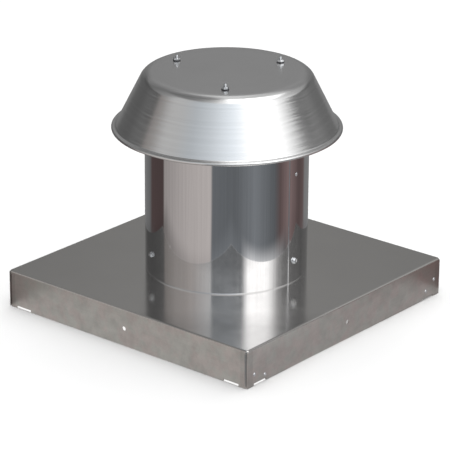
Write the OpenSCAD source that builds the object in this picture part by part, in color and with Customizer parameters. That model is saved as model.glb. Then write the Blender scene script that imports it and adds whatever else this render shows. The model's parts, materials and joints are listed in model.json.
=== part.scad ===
// Roof vent cap for a square roof curb: a folded curb cap, a rolled throat,
// a spun hood on three straps, a bird screen and a two-blade backdraft damper.
// The origin is the middle of the foot of the skirts, with +Z up.
// The front skirt faces -Y. Heights called "rise" are measured from the top of the deck.

/* [Curb cap] */
// Side of the square curb cap, outside the skirts
base_w = 482.6; // [440:0.1:560]
// Height of the skirts, from their foot to the top of the deck
skirt_h = 60.7; // [50:0.1:90]
// Thickness of the curb cap's sheet
deck_t = 1.3; // [0.8:0.1:2]
// Outer radius of the bends between the deck and the skirts
deck_bend_r = 3; // [2.2:0.1:5]
// Outer radius of the upright bends at the corners
corner_bend_r = 5; // [3:0.1:8]
// Height of the turned-in hem along the foot of each skirt
hem_h = 12; // [8:0.5:20]
// Gap inside the hem
hem_gap = 0.8; // [0.4:0.1:2]
// Width of the foot at each end of a skirt
foot_w = 16; // [10:0.5:30]
// Width of the notch between a foot and the hem
notch_w = 30; // [20:0.5:60]
// Height of the notch
notch_h = 4; // [2:0.5:8]
// Diameter of the curb screw hole in the middle of each skirt
curb_hole_d = 7; // [4:0.5:10]
// Distance from the top of the deck down to the curb screw holes
curb_hole_drop = 32; // [20:0.5:40]

/* [Collar and throat] */
// Outer radius of the rolled throat
throat_r = 127.5; // [110:0.1:150]
// Thickness of the throat's sheet
throat_t = 1; // [0.6:0.1:1.6]
// Rise of the top of the throat
throat_rise = 250; // [235:1:280]
// Angle of the edge of the throat's outer sheet at the seam
seam_angle = -92; // [-180:1:180]
// Width of the throat's lap
lap_w = 29; // [20:1:40]
// Thickness of the collar's sheet
collar_t = 1.3; // [0.8:0.1:2]
// Rise of the top of the collar that holds the throat and takes the duct
collar_rise = 46; // [42:0.5:48]
// Width of the collar's flange under the deck
flange_w = 18; // [10:0.5:30]
// Rise of the stop bead in the collar
bead_rise = 27; // [20:0.5:28]
// Outer radius of the stop bead
bead_r = 3.5; // [2.5:0.1:4]
// Radial gap between sheets that slip into each other
slip = 0.15; // [0.1:0.05:0.3]

/* [Hood] */
// Height of the top of the hood above the top of the throat
hood_lift = 69; // [50:1:110]
// Thickness of the hood's sheet
hood_t = 1.3; // [0.8:0.1:2]
// How far the corner of the hood's top, if it were sharp, lies outside the throat
crown_out = 1.5; // [0:0.5:20]
// Outer radius of the rounded edge of the top
knuckle_r = 19.5; // [12:0.5:28]
// Radial gap between the throat and the place where the sloping wall turns into the flare
mouth_gap = 44; // [34:0.5:70]
// Slope of the hood's wall from level
wall_slope = 63.4; // [50:0.1:75]
// Radius of the flare, on its outer face
flare_r = 3.5; // [2:0.1:6]
// Outer radius of the rolled rim
rim_r = 2.5; // [2:0.1:4]
// How far round the rim is rolled
rim_roll = 240; // [180:5:270]
// How far the hood bolts stand inside the throat's outer face
stud_inset = 34.8; // [30:0.1:40]
// Angle of the first hood bolt
stud_angle = -22.25; // [-180:0.25:180]

/* [Straps] */
// Width of each hood strap
strap_w = 25; // [18:1:32]
// Thickness of each hood strap
strap_t = 2; // [1.5:0.1:3]
// Distance from a hood bolt to the strap's inner end
strap_tail = 12; // [8:0.5:16]
// Depth of the feet that carry the bird screen, below the top of the throat
foot_depth = 45; // [40:1:60]
// Height of the lower strap rivet above the foot
strap_rivet_low = 17; // [12:0.5:24]
// Spacing of the two rivets in a strap
strap_rivet_pitch = 16; // [10:0.5:20]
// Length of each foot
strap_foot_w = 15; // [12:0.5:20]

/* [Bird screen] */
// Spacing of the screen's wires
mesh_pitch = 12.7; // [10:0.1:25]
// Diameter of the screen's wires
mesh_wire_d = 1.2; // [0.8:0.1:2]
// Width of the ring that carries the mesh
ring_w = 9; // [6:0.5:14]
// Thickness of the ring
ring_t = 1.2; // [0.8:0.1:2]

/* [Damper] */
// Thickness of the damper frame's sheet
frame_t = 1; // [0.8:0.1:1.6]
// Rise of the seat flange
seat_rise = 50; // [48:0.5:60]
// Width of the seat flange
seat_w = 12; // [10:0.5:16]
// Thickness of the foam seal
seal_t = 2.5; // [1.5:0.1:4]
// Radial width of the foam seal
seal_w = 7; // [5:0.5:8]
// Gap between the closed blades and the seal
seal_gap = 0.3; // [0.2:0.05:0.6]
// Thickness of the blades
blade_t = 0.8; // [0.6:0.1:1.2]
// Diameter of the hinge rod
rod_d = 4.76; // [4:0.02:6]
// Radial running clearance of the blades' knuckles on the rod
running = 0.05; // [0.02:0.01:0.1]
// Room left for a spring between the outer knuckles and the throat's outer face
spring_room = 34.5; // [28:0.5:40]
// Gap between neighbouring knuckles
knuckle_gap = 1.5; // [0.8:0.1:4]
// Width of the ears that carry the rod and the stop
ear_w = 18; // [14:0.5:20]
// Height of the stop strip above the rod
stop_lift = 40; // [30:0.5:50]
// Angle through which each blade opens
open_angle = 78; // [60:1:84]
// Diameter of the spring wire
spring_wire_d = 0.9; // [0.7:0.1:1.2]
// Number of full turns in each spring
spring_turns = 5; // [4:1:6]

/* [Fasteners] */
// Diameter of the screws and bolts
screw_d = 4.8; // [4:0.1:6]
// Length of the throat screws below their heads
screw_len = 9.5; // [8:0.5:16]
// Rise of the throat screws
screw_rise = 36; // [34:0.5:40]
// Angle of the throat screw in the lap
screw_angle = -85.5; // [-180:0.5:180]
// Width across the flats of the screw heads
screw_flats = 7.9; // [6:0.1:10]
// Width across the flats of the nuts on the hood
nut_flats = 9.5; // [8:0.1:12]
// Height of the nuts on the hood
nut_h = 3.3; // [2.5:0.1:5]
// Thickness of the sealing washers
washer_t = 1.8; // [1:0.1:3]
// Length of bolt that stands out above its nut
stud_tip = 4.5; // [2:0.5:10]
// Diameter of the pop rivets' shanks
rivet_d = 3.2; // [2.4:0.1:4]
// Depth of the lower rivet in the throat's lap, below the top of the throat
seam_rivet_depth = 72.7; // [60:0.1:100]
// Spacing of the rivets in the throat's lap
seam_rivet_pitch = 60; // [40:1:70]
// Gap under the head of a fastener on a round wall
head_gap = 0.1; // [0.05:0.05:0.3]

/* [Hidden] */
$fn = 64;

half = base_w / 2;
over = 0.5; // how far a cut runs past the faces it goes through
bend_steps = 5; // straight steps in a small bend

// The collar slips inside the throat, and the damper frame inside the collar
throat_in_r = throat_r - throat_t;
collar_out_r = throat_in_r - slip;
collar_in_r = collar_out_r - collar_t;
frame_out_r = collar_in_r - slip;
frame_in_r = frame_out_r - frame_t;
collar_bend_r = collar_t + 0.3;
bead_sink = 1; // how far the bead's centre lies behind the collar's inner face
bead_half = sqrt(bead_r * bead_r - bead_sink * bead_sink);

// Hem and corner tabs
hem_r = deck_t + hem_gap / 2;
tab_gap = 0.15; // gap between a tab and the skirt in front of it
skirt_edge = 1.2; // how far the front and rear skirts end short of the corner
hem_half = half - foot_w - notch_w;
tab_end = half - foot_w - notch_w + 0.5;
corner_cap_h = deck_bend_r + 3; // height of the closed corner below the top of the deck

// Lap of the throat
lap_deg = lap_w / throat_r * 180 / PI;
lap_ramp_deg = lap_deg;

// Hood outline
hood_rise = throat_rise + hood_lift;
crown_r = throat_r + crown_out;
mouth_r = throat_r + mouth_gap;
stud_circle_r = throat_r - stud_inset;
wall_dir = [cos(wall_slope), -sin(wall_slope)];
wall_out = [sin(wall_slope), cos(wall_slope)];
knuckle_c = [crown_r - knuckle_r * tan(wall_slope / 2), hood_rise - knuckle_r];
flare_start = [mouth_r, hood_rise - (mouth_r - crown_r) * tan(wall_slope)];
flare_c = flare_start + flare_r * wall_out;
rim_run = 1.9; // level run between the flare and the roll of the rim
rim_c = [flare_c[0] + rim_run, flare_c[1] - flare_r - rim_r];
stud_angles = [for (i = [0 : 2]) stud_angle - 120 * i];
hood_under = hood_rise - hood_t;

// Straps: the leg's outer face meets the round wall of the throat at its edges
leg_out_r = sqrt(pow(throat_in_r - slip, 2) - pow(strap_w / 2, 2));
strap_bend_r = leg_out_r - knuckle_c[0] + 2;
foot_bend_r = 2 * strap_t;
strap_foot_rise = throat_rise - foot_depth;
strap_rivet_rises = [for (i = [0, 1]) strap_foot_rise + strap_rivet_low + i * strap_rivet_pitch];

// Bird screen
ring_out_r = leg_out_r - strap_t - foot_bend_r / 2 - 0.5;
ring_in_r = ring_out_r - ring_w;
mesh_rise = strap_foot_rise + ring_t;
mesh_r = ring_out_r - 0.8;
mesh_count = floor((ring_in_r + 1) / mesh_pitch);

// Damper
rod_r = rod_d / 2;
bore_r = rod_r + running;
knuckle_out_r = bore_r + blade_t;
knuckle_sink = 0.1; // how far the knuckles reach below the blade
seat_in_r = frame_out_r - seat_w;
blade_low = seat_rise + seal_t + seal_gap;
rod_rise = blade_low + knuckle_out_r - knuckle_sink;
ear_in_x = frame_in_r - 2.9;
seal_in_r = seat_in_r + 0.5;
seal_out_r = min(seal_in_r + seal_w, ear_in_x - 0.4);
blade_r = ear_in_x - 1.5;
knuckle_len = (2 * (throat_r - spring_room) - 4 * knuckle_gap) / 5;
knuckle_step = knuckle_len + knuckle_gap;
spring_r = rod_r + spring_wire_d / 2 + 0.25;
spring_pitch = spring_wire_d + 0.4;
spring_out_x = seat_in_r - 1.5;
spring_clear = spring_r + spring_wire_d / 2 + 0.6;
hook_lift = 16; // height of the spring's hook above the rod
retainer_t = 1.2;
rod_half = ear_in_x + frame_t + retainer_t + 1;
stop_t = frame_t;
// The stop's edges meet the inner faces of the open blades
blade_face = bore_r - knuckle_sink;
stop_half = (stop_lift + blade_face * cos(open_angle)) / tan(open_angle)
    + blade_face * sin(open_angle) - 0.3;

// Fasteners
screw_r = screw_d / 2;
rivet_r = rivet_d / 2;
rivet_head_r = 2 * rivet_r;
rivet_head_h = 0.7 * rivet_r;
rivet_bulge_r = 1.5 * rivet_r; // the set end behind the sheets
rivet_tail = 1.6 * rivet_r;
hole_gap = 0.05; // radial gap of a fastener in its hole
head_flange_r = 5.25;
head_flange_t = 1;
head_h = 3.4;
washer_r = 6.4;
seam_rivet_angle = seam_angle + lap_deg / 2 + 1;
seam_rivet_rises = [for (i = [0, 1]) throat_rise - seam_rivet_depth + i * seam_rivet_pitch];
screw_angles = [for (i = [0 : 2]) screw_angle + 120 * i];

// Rivets in the front skirt: side of the corner, distance from the corner, distance below the deck
corner_rivet_spots = [[-1, 17.5, 42.5], [-1, 42, 50.4], [1, 15, 32.7], [1, 36, 47]];

function arc(c, r, a0, a1, n) =
    [for (i = [0 : n]) let (a = a0 + (a1 - a0) * i / n) c + r * [cos(a), sin(a)]];
function unit(v) = v / norm(v);

module at_angle(a, r = 0, rise = 0) {
    rotate([0, 0, a]) translate([r, 0, skirt_h + rise]) children();
}

// A round bar along the local X axis, from x0 to x1
module x_bar(r, x0, x1) {
    translate([x0, 0, 0]) rotate([0, 90, 0]) cylinder(r = r, h = x1 - x0);
}

// A pop rivet along the local X axis, with its domed head's foot at x = 0 and its shank inwards
module rivet(grip) {
    dome = (pow(rivet_head_r, 2) + pow(rivet_head_h, 2)) / (2 * rivet_head_h);
    dome_half = asin(rivet_head_r / dome);
    outline = concat(
        arc([0, rivet_head_h - dome], dome, 90 - dome_half, 90, 4),
        [[0, -grip - rivet_tail], [rivet_r, -grip - rivet_tail],
         [rivet_bulge_r, -grip - 0.6 * rivet_tail], [rivet_bulge_r, -grip - head_gap],
         [rivet_r, -grip - head_gap],
         [rivet_r, 0]]
    );
    rotate([0, 90, 0]) rotate_extrude() polygon(outline);
}

// A block with rounded upright corners and rounded upper edges, from z0 up to z1
module pan_block(w, r_corner, r_top, z0, z1) {
    section = concat(
        [[-w, z0], [w, z0]],
        arc([w - r_top, z1 - r_top], r_top, 0, 90, bend_steps),
        arc([r_top - w, z1 - r_top], r_top, 90, 180, bend_steps)
    );
    corner = concat(
        [[0, z0], [r_corner, z0]],
        arc([r_corner - r_top, z1 - r_top], r_top, 0, 90, bend_steps),
        [[0, z1]]
    );
    inset = w - r_corner;
    for (turn = [0, 90])
        rotate([0, 0, turn]) rotate([90, 0, 0]) linear_extrude(2 * inset, center = true)
            polygon(section);
    for (sx = [-1, 1]) for (sy = [-1, 1])
        translate([sx * inset, sy * inset, 0]) rotate_extrude() polygon(corner);
}

// A rectangle with rounded corners about the origin, given by its half sizes
module rounded_rect(hx, hy, r) {
    square([2 * hx, 2 * (hy - r)], center = true);
    square([2 * (hx - r), 2 * hy], center = true);
    for (sx = [-1, 1]) for (sy = [-1, 1]) translate([sx * (hx - r), sy * (hy - r)]) circle(r);
}

// Left and right skirts with their corner tabs
module side_skirts() {
    tab_half = half - deck_t - tab_gap;
    linear_extrude(skirt_h - deck_bend_r) difference() {
        rounded_rect(half, tab_half, corner_bend_r);
        rounded_rect(half - deck_t, tab_half - deck_t, corner_bend_r - deck_t);
        square([2 * tab_end, base_w], center = true);
    }
}

// Front and rear skirts
module front_skirts() {
    for (s = [-1, 1]) translate([0, s * (half - deck_t / 2), (skirt_h - deck_bend_r) / 2])
        cube([2 * (half - skirt_edge), deck_t, skirt_h - deck_bend_r], center = true);
}

// Section of the hem below its straight outer leaf, with the skirt's outer face at x = 0
module hem_section() {
    polygon(concat(
        [[deck_t, hem_r + over], [0, hem_r + over]],
        arc([hem_r, hem_r], hem_r, 180, 360, 2 * bend_steps),
        [[2 * hem_r, hem_h], [2 * hem_r - deck_t, hem_h]],
        arc([hem_r, hem_r], hem_gap / 2, 360, 180, 2 * bend_steps)
    ));
}

module hem() {
    translate([-half, 0, 0]) rotate([90, 0, 0]) linear_extrude(2 * hem_half, center = true)
        hem_section();
}

// A ring that stands up through the deck inside the throat, with a stop bead for the duct
// and a flange that is spot welded to the underside of the deck
module collar() {
    bead_c = [collar_in_r + bead_sink, bead_rise];
    in_half = acos(bead_sink / bead_r);
    out_half = acos((collar_out_r - bead_c[0]) / (bead_r - collar_t));
    flange_r = collar_out_r + flange_w;
    flange_low = -deck_t - collar_t;
    color("#a9a7a2") difference() {
        translate([0, 0, skirt_h]) rotate_extrude($fn = 180) polygon(concat(
            [[flange_r, -deck_t], [flange_r, flange_low]],
            arc([collar_in_r + collar_bend_r, flange_low + collar_bend_r], collar_bend_r, 270, 180,
                bend_steps),
            arc(bead_c, bead_r, 180 + in_half, 180 - in_half, 2 * bend_steps),
            [[collar_in_r, collar_rise], [collar_out_r, collar_rise]],
            arc(bead_c, bead_r - collar_t, out_half, 360 - out_half, 2 * bend_steps),
            [[collar_out_r, -deck_t]]
        ));
        screw_holes();
    }
}

module curb_cap() {
    color("#8f8d88") difference() {
        union() {
            difference() {
                pan_block(half, corner_bend_r, deck_bend_r, skirt_h - corner_cap_h, skirt_h);
                pan_block(half - deck_t, corner_bend_r - deck_t, deck_bend_r - deck_t,
                    skirt_h - corner_cap_h - over, skirt_h - deck_t);
                translate([0, 0, skirt_h - deck_t - over])
                    cylinder(r = collar_out_r + slip, h = deck_t + 2 * over);
            }
            difference() {
                union() {
                    side_skirts();
                    front_skirts();
                }
                // Notches, and the strip that the hem's bend takes
                for (turn = [0 : 90 : 270]) rotate([0, 0, turn]) {
                    for (s = [-1, 1])
                        translate([half - 5, s * (half - foot_w - notch_w / 2), notch_h / 2 - over])
                            cube([20, notch_w, notch_h + 2 * over], center = true);
                    translate([half - 5, 0, 0]) cube([20, 2 * hem_half, 2 * hem_r], center = true);
                }
            }
            for (turn = [0 : 90 : 270]) rotate([0, 0, turn]) hem();
        }
        for (turn = [0 : 90 : 270]) rotate([0, 0, turn])
            translate([0, 0, skirt_h - curb_hole_drop])
                x_bar(curb_hole_d / 2, half - 2 * deck_t, half + over);
        at_corner_rivets() x_bar(rivet_r + hole_gap, -4 * deck_t, over);
    }
}

// Places children at each corner rivet, with local +X out of the skirt
module at_corner_rivets() {
    for (turn = [0, 180]) rotate([0, 0, turn]) for (spot = corner_rivet_spots)
        translate([spot[0] * (half - spot[1]), -half, skirt_h - spot[2]])
            rotate([0, 0, -90]) children();
}

module screw_holes() {
    for (a = screw_angles) at_angle(a, 0, screw_rise)
        x_bar(screw_r + hole_gap, frame_in_r - 2, throat_r + 2 * throat_t + over);
}

module throat() {
    ramp_end = seam_angle + lap_deg + lap_ramp_deg;
    lap_out_r = throat_r + throat_t;
    lap = concat(
        arc([0, 0], throat_r - throat_t / 2, ramp_end, seam_angle, 28),
        arc([0, 0], lap_out_r, seam_angle, seam_angle + lap_deg, 14),
        [for (i = [1 : 14]) let (a = seam_angle + lap_deg + lap_ramp_deg * i / 14)
            (lap_out_r - 0.85 * throat_t * (1 - cos(180 * i / 14)) / 2) * [cos(a), sin(a)]]
    );
    color("#b4b1ab") difference() {
        translate([0, 0, skirt_h]) linear_extrude(throat_rise) {
            difference() {
                circle(throat_r, $fn = 180);
                circle(throat_in_r, $fn = 180);
            }
            polygon(lap);
        }
        screw_holes();
        for (rise = seam_rivet_rises) at_angle(seam_rivet_angle, 0, rise)
            x_bar(rivet_r + hole_gap, throat_in_r - 1, lap_out_r + over);
        for (a = stud_angles) for (rise = strap_rivet_rises) at_angle(a, 0, rise)
            x_bar(rivet_r + hole_gap, throat_in_r - 1, throat_r + over);
    }
}

module hood() {
    turn_end = 90 - wall_slope;
    outer = concat(
        arc(knuckle_c, knuckle_r, 90, turn_end, 10),
        arc(flare_c, flare_r, 180 + turn_end, 270, 6),
        arc(rim_c, rim_r, 90, 90 - rim_roll, 14)
    );
    inner = concat(
        arc(rim_c, rim_r - hood_t, 90 - rim_roll, 90, 14),
        arc(flare_c, flare_r + hood_t, 270, 180 + turn_end, 6),
        arc(knuckle_c, knuckle_r - hood_t, turn_end, 90, 10)
    );
    color("#bdbdbd") difference() {
        translate([0, 0, skirt_h]) rotate_extrude($fn = 180)
            polygon(concat([[0, hood_rise]], outer, inner, [[0, hood_under]]));
        for (a = stud_angles) at_angle(a, stud_circle_r, hood_under - over)
            cylinder(r = screw_r + hole_gap, h = hood_t + 2 * over);
    }
}

// A strap in side view: a top leg under the hood, an upright leg and a foot for the screen
module strap_outline() {
    tail_r = stud_circle_r - strap_tail;
    top_c = [leg_out_r - strap_bend_r, hood_under - strap_bend_r];
    foot_c = [leg_out_r - foot_bend_r, strap_foot_rise - strap_t + foot_bend_r];
    polygon(concat(
        [[tail_r, hood_under]],
        arc(top_c, strap_bend_r, 90, 0, 8),
        arc(foot_c, foot_bend_r, 0, -90, bend_steps),
        [[leg_out_r - strap_foot_w, strap_foot_rise - strap_t],
         [leg_out_r - strap_foot_w, strap_foot_rise]],
        arc(foot_c, foot_bend_r - strap_t, -90, 0, bend_steps),
        arc(top_c, strap_bend_r - strap_t, 0, 90, 8),
        [[tail_r, hood_under - strap_t]]
    ));
}

module hood_bracket(a) {
    color("#a9abad") difference() {
        at_angle(a) rotate([90, 0, 0]) linear_extrude(strap_w, center = true) strap_outline();
        at_angle(a, stud_circle_r, hood_under - strap_t - over)
            cylinder(r = screw_r + hole_gap, h = strap_t + 2 * over);
        for (rise = strap_rivet_rises) at_angle(a, 0, rise)
            x_bar(rivet_r + hole_gap, leg_out_r - strap_t - over, leg_out_r + over);
        at_angle(a, (ring_in_r + ring_out_r) / 2, strap_foot_rise - strap_t - over)
            cylinder(r = rivet_r + hole_gap, h = strap_t + 2 * over);
    }
}

module hood_bracket_1() { hood_bracket(stud_angles[0]); }
module hood_bracket_2() { hood_bracket(stud_angles[1]); }
module hood_bracket_3() { hood_bracket(stud_angles[2]); }

// Ear in end view: width along x, height along y
module ear_outline() {
    top = rod_rise + stop_lift - seat_rise;
    round_r = 4;
    polygon(concat(
        [[-ear_w / 2, -frame_t / 2], [ear_w / 2, -frame_t / 2]],
        arc([ear_w / 2 - round_r, top - round_r], round_r, 0, 90, bend_steps),
        arc([round_r - ear_w / 2, top - round_r], round_r, 90, 180, bend_steps)
    ));
}

module damper_frame() {
    band_low = bead_rise + bead_half;
    seat_bend_r = frame_t + 1;
    color("#b9bcbe") difference() {
        union() {
            translate([0, 0, skirt_h]) rotate_extrude($fn = 180) polygon(concat(
                [[frame_in_r, band_low], [frame_out_r, band_low]],
                arc([frame_out_r - seat_bend_r, seat_rise - seat_bend_r], seat_bend_r, 0, 90,
                    bend_steps),
                [[seat_in_r, seat_rise], [seat_in_r, seat_rise - frame_t]],
                arc([frame_out_r - seat_bend_r, seat_rise - seat_bend_r], seat_bend_r - frame_t,
                    90, 0, bend_steps)
            ));
            for (turn = [0, 180]) rotate([0, 0, turn]) translate([ear_in_x, 0, skirt_h + seat_rise])
                rotate([90, 0, 90]) linear_extrude(frame_t) ear_outline();
        }
        screw_holes();
        for (turn = [0, 180]) rotate([0, 0, turn]) {
            translate([0, 0, skirt_h + rod_rise])
                x_bar(bore_r, ear_in_x - over, ear_in_x + frame_t + over);
            translate([0, spring_r, skirt_h + rod_rise + hook_lift])
                x_bar(spring_wire_d / 2 + 0.3, ear_in_x - over, ear_in_x + frame_t + over);
            translate([0, 0, skirt_h + stop_rivet_rise()])
                x_bar(rivet_r + hole_gap, ear_in_x - over, ear_in_x + frame_t + over);
        }
    }
}

function stop_rivet_rise() = rod_rise + stop_lift - 8;

module damper_seal() {
    color("#2b2b2b") translate([0, 0, skirt_h + seat_rise]) difference() {
        cylinder(r = seal_out_r, h = seal_t, $fn = 120);
        translate([0, 0, -over]) cylinder(r = seal_in_r, h = seal_t + 2 * over, $fn = 120);
    }
}

module damper_rod() {
    color("#9a9da0") translate([0, 0, skirt_h + rod_rise]) x_bar(rod_r, -rod_half, rod_half);
}

module rod_retainers() {
    color("#6f7276") for (turn = [0, 180]) rotate([0, 0, turn])
        translate([ear_in_x + frame_t, 0, skirt_h + rod_rise]) difference() {
            x_bar(2 * rod_r, 0, retainer_t);
            x_bar(rod_r + 0.02, -over, retainer_t + over);
        }
}

// The stop strip in front view: level, with an end turned down against each ear
module damper_stop() {
    end_h = 14;
    bend_r = 2.5;
    top = rod_rise + stop_lift;
    color("#b9bcbe") translate([0, 0, skirt_h]) difference() {
        rotate([90, 0, 0]) linear_extrude(2 * stop_half, center = true) polygon(concat(
            [[ear_in_x, top - end_h]],
            arc([ear_in_x - bend_r, top - bend_r], bend_r, 0, 90, bend_steps),
            arc([bend_r - ear_in_x, top - bend_r], bend_r, 90, 180, bend_steps),
            [[-ear_in_x, top - end_h], [stop_t - ear_in_x, top - end_h]],
            arc([bend_r - ear_in_x, top - bend_r], bend_r - stop_t, 180, 90, bend_steps),
            arc([ear_in_x - bend_r, top - bend_r], bend_r - stop_t, 90, 0, bend_steps),
            [[ear_in_x - stop_t, top - end_h]]
        ));
        for (turn = [0, 180]) rotate([0, 0, turn]) translate([0, 0, stop_rivet_rise()])
            x_bar(rivet_r + hole_gap, ear_in_x - stop_t - over, ear_in_x + over);
    }
}

// A blade on the -Y side of the rod, with knuckles at the given places along it
module damper_blade(places) {
    cut_back = knuckle_out_r + 0.5;
    spring_in_x = 2 * knuckle_step + knuckle_len / 2;
    translate([0, 0, skirt_h]) difference() {
        union() {
            translate([0, 0, blade_low]) linear_extrude(blade_t) {
                difference() {
                    circle(blade_r, $fn = 180);
                    translate([-blade_r - over, -cut_back])
                        square([2 * (blade_r + over), blade_r + cut_back + over]);
                    for (s = [-1, 1]) translate([s * (spring_in_x + blade_r / 2), 0])
                        square([blade_r, 2 * spring_clear], center = true);
                }
                for (x = places) translate([x - knuckle_len / 2, -cut_back - over])
                    square([knuckle_len, cut_back + over]);
            }
            for (x = places) translate([0, 0, rod_rise])
                x_bar(knuckle_out_r, x - knuckle_len / 2, x + knuckle_len / 2);
        }
        translate([0, 0, rod_rise]) x_bar(bore_r, -blade_r, blade_r);
    }
}

module damper_blade_front() {
    color("#c3c5c7") damper_blade([-2 * knuckle_step, 0, 2 * knuckle_step]);
}

module damper_blade_rear() {
    color("#c3c5c7") rotate([0, 0, 180]) damper_blade([-knuckle_step, knuckle_step]);
}

// Round wire along points: each ring of sides is carried on from the one before, so it doesn't turn
module wire(points, r, sides) {
    last = len(points) - 1;
    along = [for (i = [0 : last]) unit(points[min(i + 1, last)] - points[max(i - 1, 0)])];
    side = carried(along, [unit(cross(along[0], [0, 1, 0.3]))]);
    rings = [for (i = [0 : last]) for (k = [0 : sides - 1])
        let (a = 360 * k / sides)
        points[i] + r * (cos(a) * side[i] + sin(a) * cross(along[i], side[i]))];
    polyhedron(
        points = rings,
        faces = concat(
            [[for (k = [0 : sides - 1]) k]],
            [[for (k = [sides - 1 : -1 : 0]) last * sides + k]],
            [for (i = [0 : last - 1]) for (k = [0 : sides - 1])
                let (n = (k + 1) % sides)
                [i * sides + n, i * sides + k, (i + 1) * sides + k, (i + 1) * sides + n]]
        )
    );
}
function carried(along, side, i = 1) =
    i >= len(along) ? side
    : carried(along, concat(side, [unit(side[i - 1] - (side[i - 1] * along[i]) * along[i])]), i + 1);

// The front spring: hooked in the left ear, wound round the rod, with its other leg on the blade
module damper_spring() {
    leg_lean = 13; // slope of the blade leg
    start = 180;
    total = 360 * spring_turns + 270 + leg_lean - start + 180;
    steps = 14 * spring_turns + 11;
    coil_end_x = -spring_out_x + spring_pitch * total / 360;
    end_a = start + total;
    tip_drop = spring_r * sin(end_a) + blade_face - spring_wire_d / 2 - 0.05;
    tip = tip_drop / sin(leg_lean);
    coil = [for (i = [0 : steps]) let (a = start + total * i / steps)
        [-spring_out_x + (coil_end_x + spring_out_x) * i / steps,
         spring_r * cos(a), spring_r * sin(a)]];
    hook_x = -ear_in_x - frame_t;
    points = concat(
        [[hook_x - 1.5, -spring_r, hook_lift], [hook_x + frame_t + 0.8, -spring_r, hook_lift],
         [hook_x + frame_t + 2, -spring_r, hook_lift - 1]],
        coil,
        [[coil_end_x + 0.3, spring_r * cos(end_a) - tip * cos(leg_lean),
          spring_r * sin(end_a) - tip_drop]]
    );
    color("#55585c") translate([0, 0, skirt_h + rod_rise]) wire(points, spring_wire_d / 2, 6);
}

module damper_spring_front() { damper_spring(); }
module damper_spring_rear() { rotate([0, 0, 180]) damper_spring(); }

module bird_screen() {
    wire_r = mesh_wire_d / 2;
    color("#8d9194") for (layer = [0, 1]) rotate([0, 0, 90 * layer])
        for (i = [-mesh_count : mesh_count]) {
            reach = sqrt(mesh_r * mesh_r - pow(i * mesh_pitch, 2));
            translate([0, i * mesh_pitch, skirt_h + mesh_rise + wire_r + mesh_wire_d * layer])
                x_bar(wire_r, -reach, reach);
        }
}

module screen_ring() {
    color("#a3a6a9") difference() {
        translate([0, 0, skirt_h + strap_foot_rise]) difference() {
            cylinder(r = ring_out_r, h = ring_t, $fn = 120);
            translate([0, 0, -over]) cylinder(r = ring_in_r, h = ring_t + 2 * over, $fn = 120);
        }
        for (a = stud_angles) at_angle(a, (ring_in_r + ring_out_r) / 2, strap_foot_rise - over)
            cylinder(r = rivet_r + hole_gap, h = ring_t + 2 * over);
    }
}

module screen_rivets() {
    head = 0.9;
    color("#c9cbcd") for (a = stud_angles)
        at_angle(a, (ring_in_r + ring_out_r) / 2, strap_foot_rise - strap_t) {
            translate([0, 0, -head]) cylinder(r = rivet_head_r, h = head);
            cylinder(r = rivet_r, h = strap_t + ring_t);
        }
}

module corner_rivets() {
    color("#c9cbcd") at_corner_rivets() rivet(2 * deck_t + tab_gap);
}

module seam_rivets() {
    color("#c9cbcd") for (rise = seam_rivet_rises)
        at_angle(seam_rivet_angle, throat_r + throat_t + head_gap, rise)
            rivet(2 * throat_t + head_gap);
}

module bracket_rivets() {
    grip = throat_r + head_gap - leg_out_r + strap_t;
    color("#c9cbcd") for (a = stud_angles) for (rise = strap_rivet_rises)
        at_angle(a, throat_r + head_gap, rise) rivet(grip);
}

module stop_rivets() {
    color("#c9cbcd") for (turn = [0, 180])
        rotate([0, 0, turn]) translate([ear_in_x + frame_t, 0, skirt_h + stop_rivet_rise()])
            rivet(stop_t + frame_t);
}

// A hex washer head screw along the local X axis, with its flange's foot at x = 0
module hex_screw() {
    x_bar(head_flange_r, 0, head_flange_t);
    rotate([0, 90, 0]) cylinder(d = screw_flats / cos(30), h = head_h, $fn = 6);
    rotate([0, -90, 0]) {
        cylinder(r = screw_r, h = screw_len - screw_r);
        translate([0, 0, screw_len - screw_r]) cylinder(r1 = screw_r, r2 = 0.4, h = screw_r);
    }
}

module throat_screws() {
    color("#c2c4c6") for (i = [0 : 2])
        at_angle(screw_angles[i], throat_r + (i == 0 ? throat_t : 0) + head_gap, screw_rise)
            hex_screw();
}

module hood_bolts() {
    head = 3;
    low = hood_under - strap_t;
    color("#c2c4c6") for (a = stud_angles) at_angle(a, stud_circle_r, low) {
        translate([0, 0, -head]) cylinder(d = nut_flats / cos(30), h = head, $fn = 6);
        cylinder(r = screw_r, h = strap_t + hood_t + washer_t + nut_h + stud_tip);
    }
}

module hood_nuts() {
    color("#c2c4c6") for (a = stud_angles)
        at_angle(a, stud_circle_r, hood_rise + washer_t) difference() {
            cylinder(d = nut_flats / cos(30), h = nut_h, $fn = 6);
            translate([0, 0, -over]) cylinder(r = screw_r + hole_gap, h = nut_h + 2 * over);
        }
}

module hood_sealing_washers() {
    color("#333333") for (a = stud_angles)
        at_angle(a, stud_circle_r, hood_rise) difference() {
            cylinder(r = washer_r, h = washer_t);
            translate([0, 0, -over]) cylinder(r = screw_r + hole_gap, h = washer_t + 2 * over);
        }
}

curb_cap();
collar();
throat();
hood();
hood_bracket_1();
hood_bracket_2();
hood_bracket_3();
damper_frame();
damper_seal();
damper_rod();
damper_stop();
damper_blade_front();
damper_blade_rear();
damper_spring_front();
damper_spring_rear();
bird_screen();
screen_ring();
corner_rivets();
seam_rivets();
throat_screws();
bracket_rivets();
hood_bolts();
hood_nuts();
hood_sealing_washers();
screen_rivets();
rod_retainers();
stop_rivets();
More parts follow.
